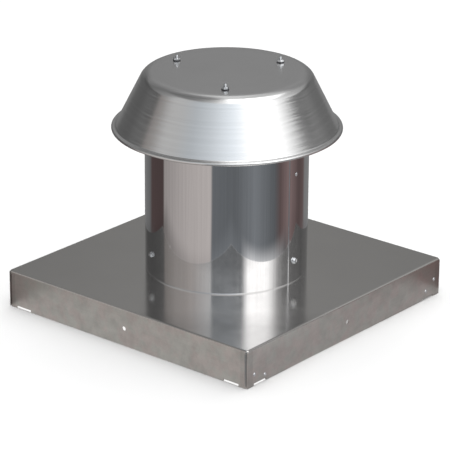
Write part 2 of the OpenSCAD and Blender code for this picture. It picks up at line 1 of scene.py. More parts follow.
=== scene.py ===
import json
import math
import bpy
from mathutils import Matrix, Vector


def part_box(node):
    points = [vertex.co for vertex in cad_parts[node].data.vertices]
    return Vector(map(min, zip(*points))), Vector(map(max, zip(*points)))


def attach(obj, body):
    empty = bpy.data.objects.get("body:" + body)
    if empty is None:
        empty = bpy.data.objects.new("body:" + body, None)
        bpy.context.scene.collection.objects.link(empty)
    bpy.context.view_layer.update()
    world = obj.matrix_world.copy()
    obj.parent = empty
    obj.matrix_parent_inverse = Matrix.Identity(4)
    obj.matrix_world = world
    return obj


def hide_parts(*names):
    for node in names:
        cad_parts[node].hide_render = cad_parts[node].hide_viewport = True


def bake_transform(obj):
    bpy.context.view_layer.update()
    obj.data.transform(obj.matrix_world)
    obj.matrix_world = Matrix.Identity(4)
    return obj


bl_info = {
    "name": "Roof vent cap",
    "version": (1, 0, 0),
    "blender": (4, 5, 0),
    "location": "View3D > Sidebar > Vent cap",
    "description": "Dresses a square roof curb cap with a round throat, a spun hood and a damper",
    "category": "Object",
}

import bmesh
import bpy
from mathutils import Matrix, Quaternion, Vector

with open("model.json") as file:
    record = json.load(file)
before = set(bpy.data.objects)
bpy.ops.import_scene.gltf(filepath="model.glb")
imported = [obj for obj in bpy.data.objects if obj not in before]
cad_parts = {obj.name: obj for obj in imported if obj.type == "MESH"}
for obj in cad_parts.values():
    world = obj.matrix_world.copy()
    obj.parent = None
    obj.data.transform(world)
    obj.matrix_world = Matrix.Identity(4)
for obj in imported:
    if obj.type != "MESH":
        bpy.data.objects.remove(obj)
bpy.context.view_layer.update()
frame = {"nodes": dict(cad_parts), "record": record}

MM = 0.001
# The deck's upper face is the level that heights of the throat and hood are taken from.
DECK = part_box("curb_cap")[1].z
# The photographer stands at this bearing, and bearings of the studio are counted from it.
FACING = 219.7054


# ---------------------------------------------------------------- sizes and colours


def length(name, about, default, low=0.0001, high=3.0):
    return bpy.props.FloatProperty(
        name=name, description=about, default=default, min=low, max=high, unit="LENGTH",
        precision=5)


def angle(name, about, default):
    return bpy.props.FloatProperty(
        name=name, description=about, default=math.radians(default), subtype="ANGLE")


def colour(name, about, default):
    return bpy.props.FloatVectorProperty(
        name=name, description=about, default=linear(default)[:3], size=3, min=0, max=1,
        subtype="COLOR")


def linear(hexcode):
    """Turns an sRGB hex value to the linear colour that a shader takes."""
    parts = [int(hexcode[i:i + 2], 16) / 255 for i in (1, 3, 5)]
    return tuple(c / 12.92 if c <= 0.04045 else ((c + 0.055) / 1.055) ** 2.4 for c in parts) + (1,)


class HoodSizes(bpy.types.PropertyGroup):
    top: length("Top", "Height of the hood's top above the deck", 0.319)
    sheet: length("Sheet", "Thickness of the spun sheet", 0.0013)
    crown_r: length("Crown", "Radius where the top and the wall would meet", 0.129)
    knuckle_r: length("Knuckle", "Radius of the rounded edge of the top", 0.0195)
    slope: angle("Slope", "Slope of the wall from level", 63.4)
    flare_r: length("Flare", "Radius of the flare above the rim", 0.0035)
    rim_r: length("Rim", "Outer radius of the rolled rim", 0.0025)
    mouth_r: length("Mouth", "Radius where the wall turns into the flare", 0.1715)


class ThroatSizes(bpy.types.PropertyGroup):
    radius: length("Radius", "Outer radius of the throat", 0.1275)
    rise: length("Rise", "Height of the throat above the deck", 0.25)
    sheet: length("Sheet", "Thickness of the rolled sheet", 0.001)
    lap_start: angle("Lap start", "Bearing of the edge of the layer that lies outside", -92)
    lap_end: angle("Lap end", "Bearing of the edge of the layer that lies inside", -79)
    lap_foot: angle("Lap foot", "Bearing where the outer layer is back on the round", -66)


class FastenerSizes(bpy.types.PropertyGroup):
    screw_r: length("Screw radius", "Outer radius of the screw and bolt threads", 0.0024)
    thread: length("Thread pitch", "Distance from one thread to the next", 0.00106)
    nut_flats: length("Nut", "Width across the flats of the nuts and bolt heads", 0.0095)
    nut_h: length("Nut height", "Height of the nuts on the hood", 0.0033)
    head_flats: length("Screw head", "Width across the flats of the screw heads", 0.0079)
    head_h: length("Head height", "Height of the screw heads with their flange", 0.0034)
    flange_r: length("Flange", "Radius of the flange under the screw heads", 0.00525)
    washer_r: length("Washer", "Radius of the sealing washers", 0.006)
    washer_t: length("Washer thickness", "Thickness of the sealing washers", 0.0018)
    rivet_r: length("Rivet", "Radius of the rivets' shanks", 0.0016)
    wire_r: length("Spring wire", "Radius of the springs' wire", 0.00045)
    coil_r: length("Spring coil", "Radius of the springs' coils, at the wire's middle", 0.00308)


class FinishColours(bpy.types.PropertyGroup):
    mill: colour("Mill aluminium", "Flat sheet as it comes from the mill", "#e2e0dd")
    bright: colour("Bright aluminium", "Polished rolled sheet of the throat", "#e4e4e6")
    spun: colour("Spun aluminium", "Lathe-spun sheet of the hood", "#f0f0f0")
    zinc: colour("Galvanised steel", "Hot-dip galvanised strip", "#b9bdc0")
    plated: colour("Plated steel", "Zinc-plated fasteners", "#d4d6d8")
    foam: colour("Foam", "Closed-cell foam of the seal", "#1b1b1d")


# ---------------------------------------------------------------- modelling helpers


def deselect():
    if bpy.context.object and bpy.context.object.mode != "OBJECT":
        bpy.ops.object.mode_set(mode="OBJECT")
    bpy.ops.object.select_all(action="DESELECT")


def edit(o):
    deselect()
    o.select_set(True)
    bpy.context.view_layer.objects.active = o
    bpy.ops.object.mode_set(mode="EDIT")


def pick(kind, test):
    """Selects the vertices, edges or faces of the mesh in edit mode that pass the test."""
    bpy.ops.mesh.select_mode(type=kind)
    bpy.ops.mesh.select_all(action="DESELECT")
    mesh = bmesh.from_edit_mesh(bpy.context.object.data)
    parts = {"VERT": mesh.verts, "EDGE": mesh.edges, "FACE": mesh.faces}[kind]
    for part in parts:
        part.select = bool(test(part))
    mesh.select_flush_mode()
    bmesh.update_edit_mesh(bpy.context.object.data)


def draw_line(name, points):
    """Starts a piece as one line, drawn by extruding a vertex from point to point."""
    deselect()
    bpy.ops.mesh.primitive_plane_add(size=0.001, location=points[0])
    o = bpy.context.object
    o.name = name
    bpy.ops.object.mode_set(mode="EDIT")
    bpy.ops.mesh.select_mode(type="VERT")
    bpy.ops.mesh.select_all(action="SELECT")
    bpy.ops.mesh.merge(type="CENTER")
    for a, b in zip(points, points[1:]):
        step = [q - p for p, q in zip(a, b)]
        bpy.ops.mesh.extrude_region_move(TRANSFORM_OT_translate={"value": step})
    return o


def lathe(name, outline, steps):
    """Spins an outline of (radius, height) points into a closed shell about the Z axis."""
    o = draw_line(name, [(r, 0, z) for r, z in outline])
    bpy.ops.mesh.select_all(action="SELECT")
    bpy.ops.mesh.spin(steps=steps, angle=2 * math.pi, center=(0, 0, 0), axis=(0, 0, 1))
    bpy.ops.mesh.select_all(action="SELECT")
    bpy.ops.mesh.remove_doubles(threshold=0.000005)
    bpy.ops.mesh.select_all(action="SELECT")
    bpy.ops.mesh.normals_make_consistent(inside=False)
    bpy.ops.object.mode_set(mode="OBJECT")
    return o


def apply_modifier(o, kind, **settings):
    deselect()
    o.select_set(True)
    bpy.context.view_layer.objects.active = o
    modifier = o.modifiers.new(kind.title(), kind)
    for key, value in settings.items():
        setattr(modifier, key, value)
    bpy.ops.object.modifier_apply(modifier=modifier.name)


def complete(o, name, material, body, replaces=(), smooth=30):
    """Settles a piece: its place goes into its mesh, and it gets its finish and its body."""
    deselect()
    o.select_set(True)
    bpy.context.view_layer.objects.active = o
    bpy.ops.object.transform_apply(location=True, rotation=True, scale=True)
    bpy.ops.object.shade_smooth_by_angle(angle=math.radians(smooth))
    o.name = name
    o.data.name = name
    o.data.materials.clear()
    o.data.materials.append(material)
    if body:
        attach(o, body)
    if replaces:
        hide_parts(*replaces)
    return o


def arc(centre, radius, start, end, count):
    """Points of an arc of (radius, height), with its angles in degrees from level."""
    return [(centre[0] + radius * math.cos(math.radians(start + (end - start) * i / count)),
             centre[1] + radius * math.sin(math.radians(start + (end - start) * i / count)))
            for i in range(count + 1)]


def polar(turn, reach, height):
    a = math.radians(turn)
    return Vector((reach * math.cos(a), reach * math.sin(a), height))


def join(first, *others):
    deselect()
    for o in (first, *others):
        o.select_set(True)
    bpy.context.view_layer.objects.active = first
    bpy.ops.object.join()


def carve(o, tool, operation):
    apply_modifier(o, "BOOLEAN", object=tool, operation=operation, solver="EXACT")
    bpy.data.objects.remove(tool)


def copies(o, count):
    """The piece itself and copies of it, each with its own mesh."""
    found = [o]
    while len(found) < count:
        deselect()
        o.select_set(True)
        bpy.context.view_layer.objects.active = o
        bpy.ops.object.duplicate(linked=False)
        found.append(bpy.context.object)
    return found


def put_at(o, spot, out, twist=0.0):
    """Stands a piece that was made upright at a spot, with its top pointing out."""
    turn = Vector(out).to_track_quat("Z", "Y")
    o.rotation_mode = "QUATERNION"
    o.rotation_quaternion = turn @ Quaternion((0, 0, 1), math.radians(twist))
    o.location = turn @ o.location + Vector(spot)


def hexagon(name, flats, height, foot):
    """A hexagonal head with the corners of its top turned off."""
    deselect()
    r = flats / 2 / math.cos(math.radians(30))
    bpy.ops.mesh.primitive_cylinder_add(vertices=6, radius=r, depth=height,
                                        location=(0, 0, foot + height / 2))
    o = bpy.context.object
    o.name = name
    f, top = flats / 2, foot + height
    turned = lathe("turned", [(0, foot - MM), (r + MM, foot - MM), (r + MM, top - 1.5 * MM),
                              (f - 0.1 * MM, top), (0, top)], 48)
    carve(o, turned, "INTERSECT")
    return o


def thread(r, pitch, low, high):
    """Outline of a screw thread, drawn as rings, from low up to its rounded tip."""
    points = [(r, low)]
    z = low + pitch
    while z < high - 1.5 * pitch:
        points += [(r, z), (r - 0.5 * pitch, z + 0.45 * pitch), (r, z + 0.9 * pitch)]
        z += pitch
    return points + [(r - 0.3 * pitch, high - 0.4 * pitch), (r - 0.9 * pitch, high), (0, high)]


# ---------------------------------------------------------------- materials


def add(tree, kind, inputs=None, **settings):
    """Adds a node with its settings, and fills its inputs with values or links."""
    node = tree.nodes.new("ShaderNode" + kind)
    for key, value in settings.items():
        setattr(node, key, value)
    for key, value in (inputs or {}).items():
        if isinstance(value, bpy.types.NodeSocket):
            tree.links.new(value, node.inputs[key])
        else:
            node.inputs[key].default_value = value
    return node


def new_material(name):
    plain = bpy.data.materials.get(name)
    if plain:
        plain.name = name + "_plain"
    material = bpy.data.materials.new(name)
    material.use_nodes = True
    tree = material.node_tree
    tree.nodes.clear()
    output = add(tree, "OutputMaterial")
    return material, tree, output


def rgba(value):
    return tuple(value) + (1,)


def spun_aluminium():
    """Soft aluminium sheet pressed over a turning form: a satin skin whose tool rings run
    round the axis, so that highlights run down the wall and break into fine level streaks."""
    material, tree, output = new_material("spun_aluminium")
    base = bpy.context.scene.finish_colours.spun
    place = add(tree, "TexCoord").outputs["Object"]
    flat = add(tree, "VectorMath", {0: place, 1: (1.0, 1.0, 0.0)}, operation="MULTIPLY")
    reach = add(tree, "VectorMath", {0: flat.outputs["Vector"]}, operation="LENGTH")
    # The tool's rings are about 0.4 mm apart, too fine to show, so they are drawn 3 mm apart.
    rings = add(tree, "TexNoise", {"W": add(tree, "Math", {0: reach.outputs["Value"], 1: 330.0},
                                            operation="MULTIPLY").outputs["Value"],
                                   "Scale": 1.0, "Detail": 3.0, "Roughness": 0.7},
                noise_dimensions="1D")
    patches = add(tree, "TexNoise", {"Vector": place, "Scale": 14.0, "Detail": 3.0})
    haze = add(tree, "MapRange", {"Value": patches.outputs["Fac"], "From Min": 0.3,
                                  "From Max": 0.7, "To Min": 0.16, "To Max": 0.21})
    tone = add(tree, "MapRange", {"Value": rings.outputs["Fac"], "From Min": 0.3,
                                  "From Max": 0.7, "To Min": 0.94, "To Max": 1.0})
    tint = add(tree, "VectorMath", {0: base, "Scale": tone.outputs["Result"]},
               operation="SCALE")
    ripple = add(tree, "Bump", {"Strength": 0.5, "Distance": 0.0003,
                                "Height": rings.outputs["Fac"]})
    shader = add(tree, "BsdfPrincipled", {
        "Base Color": tint.outputs["Vector"], "Metallic": 1.0, "Anisotropic": 0.25,
        "Roughness": haze.outputs["Result"], "Normal": ripple.outputs["Normal"],
        "Tangent": add(tree, "Tangent", direction_type="RADIAL", axis="Z").outputs["Tangent"]})
    tree.links.new(shader.outputs["BSDF"], output.inputs["Surface"])
    return material


def bright_aluminium():
    """Bright rolled aluminium strip: nearly a mirror, with slight buckles of a rolled tube and
    faint upright lines from the rolls."""
    material, tree, output = new_material("rolled_bright_aluminium")
    base = bpy.context.scene.finish_colours.bright
    place = add(tree, "TexCoord").outputs["Object"]
    # Buckles of a rolled tube run upright, some 40 mm apart, and hardly show but in reflections.
    upright = add(tree, "Mapping", {"Vector": place, "Scale": (1.0, 1.0, 0.22)})
    waves = add(tree, "TexNoise", {"Vector": upright.outputs["Vector"], "Scale": 18.0,
                                   "Detail": 1.0, "Roughness": 0.4})
    # The strip was rolled upright: its faint lines are 1 to 3 mm wide and as long as the tube.
    rolled = add(tree, "Mapping", {"Vector": place, "Scale": (1.0, 1.0, 0.012)})
    lines = add(tree, "TexNoise", {"Vector": rolled.outputs["Vector"], "Scale": 320.0,
                                   "Detail": 3.0, "Roughness": 0.7})
    haze = add(tree, "MapRange", {"Value": lines.outputs["Fac"], "From Min": 0.35,
                                  "From Max": 0.7, "To Min": 0.03, "To Max": 0.06})
    shade = add(tree, "MapRange", {"Value": lines.outputs["Fac"], "From Min": 0.3,
                                   "From Max": 0.7, "To Min": 0.9, "To Max": 1.0})
    tint = add(tree, "VectorMath", {0: base, "Scale": shade.outputs["Result"]},
               operation="SCALE")
    buckle = add(tree, "Bump", {"Strength": 0.3, "Distance": 0.001,
                                "Height": waves.outputs["Fac"]})
    shader = add(tree, "BsdfPrincipled", {
        "Base Color": tint.outputs["Vector"], "Metallic": 1.0,
        "Roughness": haze.outputs["Result"], "Normal": buckle.outputs["Normal"]})
    tree.links.new(shader.outputs["BSDF"], output.inputs["Surface"])
    return material


def mill_aluminium():
    """Flat aluminium sheet with its mill finish: the deck keeps a soft mirror, and the skirts
    are dulled and stained by hands and rain, with the rolling grain along the sheet."""
    material, tree, output = new_material("mill_finish_aluminium")
    base = bpy.context.scene.finish_colours.mill
    place = add(tree, "TexCoord").outputs["Object"]
    height = add(tree, "SeparateXYZ", {"Vector": place}).outputs["Z"]
    # Below the bend at the deck's edge the sheet is the skirt's dull face.
    skirt = add(tree, "MapRange", {"Value": height, "From Min": DECK - 0.0035,
                                   "From Max": DECK - 0.0008, "To Min": 1.0, "To Max": 0.0},
                interpolation_type="SMOOTHSTEP").outputs["Result"]
    along = add(tree, "Mapping", {"Vector": place, "Scale": (10.0, 10.0, 500.0)})
    # The rolling grain is under 0.1 mm wide, and is drawn 2 mm wide so that it shows.
    grain = add(tree, "TexNoise", {"Vector": along.outputs["Vector"], "Scale": 1.0,
                                   "Detail": 3.0, "Roughness": 0.6})
    smears = add(tree, "TexNoise", {"Vector": place, "Scale": 42.0, "Detail": 5.0,
                                    "Roughness": 0.65, "Distortion": 0.2})
    blots = add(tree, "MapRange", {"Value": smears.outputs["Fac"], "From Min": 0.38,
                                   "From Max": 0.66})
    dull = add(tree, "MapRange", {"Value": blots.outputs["Result"], "To Min": 0.3,
                                  "To Max": 0.42})
    gloss = add(tree, "MapRange", {"Value": blots.outputs["Result"], "To Min": 0.14,
                                   "To Max": 0.175})
    roughness = add(tree, "Mix", {"Factor": skirt, "A": gloss.outputs["Result"],
                                  "B": dull.outputs["Result"]}, data_type="FLOAT")
    stained = add(tree, "MapRange", {"Value": blots.outputs["Result"], "To Min": 1.0,
                                     "To Max": 0.84})
    clean = add(tree, "MapRange", {"Value": blots.outputs["Result"], "To Min": 1.0,
                                   "To Max": 0.98})
    shade = add(tree, "Mix", {"Factor": skirt, "A": clean.outputs["Result"],
                              "B": stained.outputs["Result"]}, data_type="FLOAT")
    fleck = add(tree, "MapRange", {"Value": grain.outputs["Fac"], "From Min": 0.3,
                                   "From Max": 0.7, "To Min": 0.96, "To Max": 1.0})
    both = add(tree, "Math", {0: shade.outputs["Result"], 1: fleck.outputs["Result"]},
               operation="MULTIPLY")
    # Painted shade: each corner of the skirts is darkened.
    near = add(tree, "VectorMath", {0: place}, operation="ABSOLUTE")
    near = add(tree, "SeparateXYZ", {"Vector": near.outputs["Vector"]})
    near = add(tree, "Math", {0: near.outputs["X"], 1: near.outputs["Y"]},
               operation="MINIMUM")
    corner_shade = add(tree, "MapRange", {"Value": near.outputs["Value"], "From Min": 0.2275,
                                    "From Max": 0.229, "To Min": 1.0, "To Max": 0.9})
    # Painted shade: the deck is darkened towards its front corner to come nearer to the picture's
    # tones.
    front = add(tree, "VectorMath", {0: place, 1: (-0.77, -0.64, 0.0)},
                operation="DOT_PRODUCT")
    front = add(tree, "MapRange", {"Value": front.outputs["Value"], "From Min": 0.19,
                                   "From Max": 0.25, "To Min": 1.0, "To Max": 0.78})
    # The painted shade: darker towards the deck's front corner and at each corner of the skirts.
    painted_shade = add(tree, "Mix", {"Factor": skirt, "A": front.outputs["Result"],
                             "B": corner_shade.outputs["Result"]}, data_type="FLOAT")
    both = add(tree, "Math", {0: both.outputs["Value"], 1: painted_shade.outputs["Result"]},
               operation="MULTIPLY")
    # Oil and hands tint the skirts a little, pinkish here and greenish there.
    film = add(tree, "TexNoise", {"Vector": place, "Scale": 48.0, "Detail": 3.0})
    film = add(tree, "ValToRGB", {"Fac": film.outputs["Fac"]})
    stops = film.color_ramp.elements
    stops[0].position, stops[0].color = 0.4, (0.96, 0.99, 0.975, 1)
    stops[1].position, stops[1].color = 0.6, (1.0, 0.96, 0.955, 1)
    film = add(tree, "MixRGB", {"Fac": skirt, "Color1": (1, 1, 1, 1),
                                "Color2": film.outputs["Color"]})
    tint = add(tree, "VectorMath", {0: base, 1: film.outputs["Color"]}, operation="MULTIPLY")
    tint = add(tree, "VectorMath", {0: tint.outputs["Vector"], "Scale": both.outputs["Value"]},
               operation="SCALE")
    slack = add(tree, "TexNoise", {"Vector": place, "Scale": 7.0, "Detail": 1.0})
    slow = add(tree, "Bump", {"Strength": 0.2, "Distance": 0.001,
                              "Height": slack.outputs["Fac"]})
    shader = add(tree, "BsdfPrincipled", {
        "Base Color": tint.outputs["Vector"], "Metallic": 1.0,
        "Roughness": roughness.outputs["Result"], "Normal": slow.outputs["Normal"]})
    tree.links.new(shader.outputs["BSDF"], output.inputs["Surface"])
    return material


def galvanised_steel():
    """Hot-dip galvanised strip: grey zinc with its crystals, each a little lighter or darker."""
    material, tree, output = new_material("galvanised_steel")
    base = bpy.context.scene.finish_colours.zinc
    place = add(tree, "TexCoord").outputs["Object"]
    # Zinc crystals on strip of this gauge are 4 to 8 mm across.
    crystals = add(tree, "TexVoronoi", {"Vector": place, "Scale": 170.0})
    spread = add(tree, "SeparateColor", {"Color": crystals.outputs["Color"]})
    shade = add(tree, "MapRange", {"Value": spread.outputs["Red"], "To Min": 0.8,
                                   "To Max": 1.0})
    dull = add(tree, "MapRange", {"Value": spread.outputs["Green"], "To Min": 0.32,
                                  "To Max": 0.48})
    tint = add(tree, "VectorMath", {0: base, "Scale": shade.outputs["Result"]},
               operation="SCALE")
    shader = add(tree, "BsdfPrincipled", {
        "Base Color": tint.outputs["Vector"], "Metallic": 1.0,
        "Roughness": dull.outputs["Result"]})
    tree.links.new(shader.outputs["BSDF"], output.inputs["Surface"])
    return material


def plated_steel(name, roughness, darker):
    """Zinc-plated or drawn steel: an even thin plating, a little cloudy."""
    material, tree, output = new_material(name)
    base = bpy.context.scene.finish_colours.plated
    place = add(tree, "TexCoord").outputs["Object"]
    cloud = add(tree, "TexNoise", {"Vector": place, "Scale": 260.0, "Detail": 2.0})
    shade = add(tree, "MapRange", {"Value": cloud.outputs["Fac"], "From Min": 0.3,
                                   "From Max": 0.7, "To Min": darker - 0.1,
                                   "To Max": darker})
    tint = add(tree, "VectorMath", {0: base, "Scale": shade.outputs["Result"]},
               operation="SCALE")
    shader = add(tree, "BsdfPrincipled", {
        "Base Color": tint.outputs["Vector"], "Metallic": 1.0, "Roughness": roughness})
    tree.links.new(shader.outputs["BSDF"], output.inputs["Surface"])
    return material


def soft_black(name, roughness, pit, faded=1.0):
    """Closed-cell foam or rubber, black or faded: matt, with small pits of the given size."""
    material, tree, output = new_material(name)
    base = bpy.context.scene.finish_colours.foam
    place = add(tree, "TexCoord").outputs["Object"]
    cells = add(tree, "TexVoronoi", {"Vector": place, "Scale": 1 / pit})
    shade = add(tree, "MapRange", {"Value": cells.outputs["Distance"], "To Min": 0.8 * faded,
                                   "To Max": 1.3 * faded})
    tint = add(tree, "VectorMath", {0: base, "Scale": shade.outputs["Result"]},
               operation="SCALE")
    skin = add(tree, "Bump", {"Strength": 0.5, "Distance": pit / 2,
                              "Height": cells.outputs["Distance"]})
    shader = add(tree, "BsdfPrincipled", {
        "Base Color": tint.outputs["Vector"], "Roughness": roughness,
        "Normal": skin.outputs["Normal"]})
    tree.links.new(shader.outputs["BSDF"], output.inputs["Surface"])
    return material


# ---------------------------------------------------------------- the pieces


class VENTCAP_OT_finishes(bpy.types.Operator):
    """Give each carried-over metal part its own finish"""
    bl_idname = "ventcap.finishes"
    bl_label = "Sheet metal finishes"

    def execute(self, context):
        finishes = {
            "mill_finish_aluminium": mill_aluminium(),
            "rolled_bright_aluminium": bright_aluminium(),
            "spun_aluminium": spun_aluminium(),
            "galvanised_steel": galvanised_steel(),
            "galvanised_wire": plated_steel("galvanised_wire", 0.4, 0.9),
            "plated_steel": plated_steel("plated_steel", 0.3, 1.2),
            "spring_steel": plated_steel("spring_steel", 0.25, 0.6),
            "rivet_aluminium": plated_steel("rivet_aluminium", 0.3, 1.25),
            "blade_aluminium": plated_steel("blade_aluminium", 0.3, 1.05),
            "black_foam": soft_black("black_foam", 0.85, 0.0012),
            "sealing_rubber": soft_black("sealing_rubber", 0.5, 0.0006, 4.0),
        }
        for part in frame["record"]["subparts"]:
            node = frame["nodes"][part["node"]]
            node.data.materials.clear()
            node.data.materials.append(finishes[part["material_slot"]])
        return {"FINISHED"}


class VENTCAP_OT_hood(bpy.types.Operator):
    """Spin the hood from its outline"""
    bl_idname = "ventcap.hood"
    bl_label = "Spun hood"

    def execute(self, context):
        s = context.scene.hood_sizes
        slope = math.degrees(s.slope)
        top = DECK + s.top
        knuckle = (s.crown_r - s.knuckle_r * math.tan(s.slope / 2), top - s.knuckle_r)
        turn = 90 - slope
        at = knuckle[0] + s.knuckle_r * math.cos(math.radians(turn))
        down = (s.mouth_r - at) * math.tan(s.slope)
        mouth = (s.mouth_r, knuckle[1] + s.knuckle_r * math.sin(math.radians(turn)) - down)
        out = (math.cos(math.radians(turn)), math.sin(math.radians(turn)))
        flare = (mouth[0] + s.flare_r * out[0], mouth[1] + s.flare_r * out[1])
        rim = (flare[0] + 1.87 * MM, flare[1] - s.flare_r - s.rim_r)
        outer = [(0, top), (0.04, top), (0.08, top), (0.1, top)]
        outer += arc(knuckle, s.knuckle_r, 90, turn, 16)
        outer += arc(flare, s.flare_r, 180 + turn, 270, 8)
        outer += arc(rim, s.rim_r, 90, -150, 20)
        inner = arc(rim, s.rim_r - s.sheet, -150, 90, 16)
        inner += arc(flare, s.flare_r + s.sheet, 270, 180 + turn, 8)
        inner += arc(knuckle, s.knuckle_r - s.sheet, turn, 90, 12)
        inner += [(0.08, top - s.sheet), (0, top - s.sheet)]
        hood = lathe("hood_shell", outer + inner, 192)
        complete(hood, "hood_shell", bpy.data.materials["spun_aluminium"], "housing",
                 ["hood"], 40)
        return {"FINISHED"}


class VENTCAP_OT_throat(bpy.types.Operator):
    """Roll the throat with its lapped joint"""
    bl_idname = "ventcap.throat"
    bl_label = "Rolled throat"

    def execute(self, context):
        s = context.scene.throat_sizes
        lap = [math.degrees(a) for a in (s.lap_start, s.lap_end, s.lap_foot)]
        turns = [lap[0] + i for i in range(0, 27)] + [lap[2] + i for i in range(1, 347)]
        plan = []
        for a in turns:
            lift = s.sheet
            if a > lap[1]:
                share = min(1, (a - lap[1]) / (lap[2] - lap[1]))
                lift *= 0.5 + 0.5 * math.cos(math.pi * share)
            r = s.radius + lift
            plan.append((r * math.cos(math.radians(a)), r * math.sin(math.radians(a)), DECK))
        tube = draw_line("throat_tube", plan)
        bpy.ops.mesh.select_all(action="SELECT")
        for step in (0.0012, 0.0012, *([(s.rise - 0.0024) / 20] * 20)):
            bpy.ops.mesh.extrude_region_move(TRANSFORM_OT_translate={"value": (0, 0, step)})
        # The cut foot is rolled in a hair where it stands on the deck.
        pick("VERT", lambda v: v.co.z < 0.0001)
        grow = 1 - 0.0002 / s.radius
        bpy.ops.transform.resize(value=(grow, grow, 1), center_override=(0, 0, DECK))
        bpy.ops.mesh.select_all(action="SELECT")
        mesh = bmesh.from_edit_mesh(tube.data)
        bmesh.ops.recalc_face_normals(mesh, faces=mesh.faces)
        bpy.ops.object.mode_set(mode="OBJECT")
        apply_modifier(tube, "SOLIDIFY", thickness=s.sheet, offset=-1)
        # The cut edge of the outer layer is rounded, and catches a line of light.
        edit(tube)
        seam = math.radians(lap[0])
        edge = Vector((math.cos(seam), math.sin(seam), 0)) * (s.radius + s.sheet) - tube.location
        pick("EDGE", lambda e: all(abs(v.co.x - edge.x) < 0.00005
                                   and abs(v.co.y - edge.y) < 0.00005 for v in e.verts))
        bpy.ops.mesh.bevel(offset=0.0008, segments=4, affect="EDGES")
        bpy.ops.object.mode_set(mode="OBJECT")
        complete(tube, "throat_tube", bpy.data.materials["rolled_bright_aluminium"], "housing",
                 ["throat"], 40)
        return {"FINISHED"}


class VENTCAP_OT_fasteners(bpy.types.Operator):
    """Turn the bolts, nuts, washers and screws, with their threads and chamfers"""
    bl_idname = "ventcap.fasteners"
    bl_label = "Bolts and screws"

    def execute(self, context):
        s = context.scene.fastener_sizes
        hood = context.scene.hood_sizes
        throat = context.scene.throat_sizes
        plated = bpy.data.materials["plated_steel"]
        top = DECK + hood.top
        places = [polar(a, throat.radius - 0.0348, 0) for a in (-22.25, -142.25, -262.25)]
        up = (0, 0, 1)
        low = -hood.sheet - 2 * MM
        tip = s.washer_t + s.nut_h + 4.5 * MM
        bolt = lathe("bolt", [(0, low), *thread(s.screw_r, s.thread, low, tip)], 32)
        head = hexagon("head", s.nut_flats, 3 * MM, low - 3 * MM)
        join(bolt, head)
        for i, o in enumerate(copies(bolt, 3)):
            put_at(o, places[i] + Vector((0, 0, top)), up)
            complete(o, f"hood_bolt_{i + 1}", plated, "housing",
                     ["hood_bolts"])
        nut = hexagon("nut", s.nut_flats, s.nut_h, 0)
        bore = lathe("bore", [(0, -MM), (s.screw_r, -MM), (s.screw_r, s.nut_h - 0.5 * MM),
                              (s.screw_r + 0.7 * MM, s.nut_h + 0.2 * MM),
                              (0, s.nut_h + 0.2 * MM)], 32)
        carve(nut, bore, "DIFFERENCE")
        for i, o in enumerate(copies(nut, 3)):
            put_at(o, places[i] + Vector((0, 0, top + s.washer_t)), up, 11 + 37 * i)
            complete(o, f"hood_nut_{i + 1}", plated, "housing", ["hood_nuts"])
        t = s.washer_t
        washer = lathe("washer", [(s.screw_r + 0.05 * MM, 0), (s.washer_r - 0.4 * MM, 0),
                                  (s.washer_r, 0.25 * t), (s.washer_r - 0.1 * MM, 0.6 * t),
                                  (s.washer_r - 0.6 * MM, 0.8 * t), (s.washer_r - 1.1 * MM, t),
                                  (s.screw_r + 0.05 * MM, t),
                                  (s.screw_r + 0.05 * MM, 0)], 40)
        for i, o in enumerate(copies(washer, 3)):
            put_at(o, places[i] + Vector((0, 0, top)), up)
            complete(o, f"sealing_washer_{i + 1}", bpy.data.materials["sealing_rubber"],
                     "housing", ["hood_sealing_washers"])
        self.throat_screws(s, throat, plated)
        return {"FINISHED"}

    def throat_screws(self, s, throat, plated):
        flange = lathe("flange", [(0, 0), (s.flange_r - 0.15 * MM, 0), (s.flange_r, 0.3 * MM),
                                  (s.flange_r - 0.3 * MM, 0.8 * MM), (3.9 * MM, 1.1 * MM),
                                  (0, 1.1 * MM)], 40)
        head = hexagon("head", s.head_flats, s.head_h - 0.8 * MM, 0.8 * MM)
        dish = lathe("dish", [(0, s.head_h - 0.6 * MM), (1.6 * MM, s.head_h - 0.5 * MM),
                              (2.6 * MM, s.head_h + 0.1 * MM), (0, s.head_h + 0.1 * MM)], 32)
        carve(head, dish, "DIFFERENCE")
        shank = lathe("shank", [(0, 0), *reversed(thread(s.screw_r, 1.6 * MM, -9.5 * MM, 0)),
                                (0, -9.5 * MM)], 24)
        join(flange, head, shank)
        for i, o in enumerate(copies(flange, 3)):
            turn = -85.5 + 120 * i
            reach = throat.radius + (throat.sheet if i == 0 else 0) + 0.1 * MM
            put_at(o, polar(turn, reach, DECK + 0.036), polar(turn, 1, 0), 9 + 23 * i)
            complete(o, f"throat_screw_{i + 1}", plated, "housing",
                     ["throat_screws"])


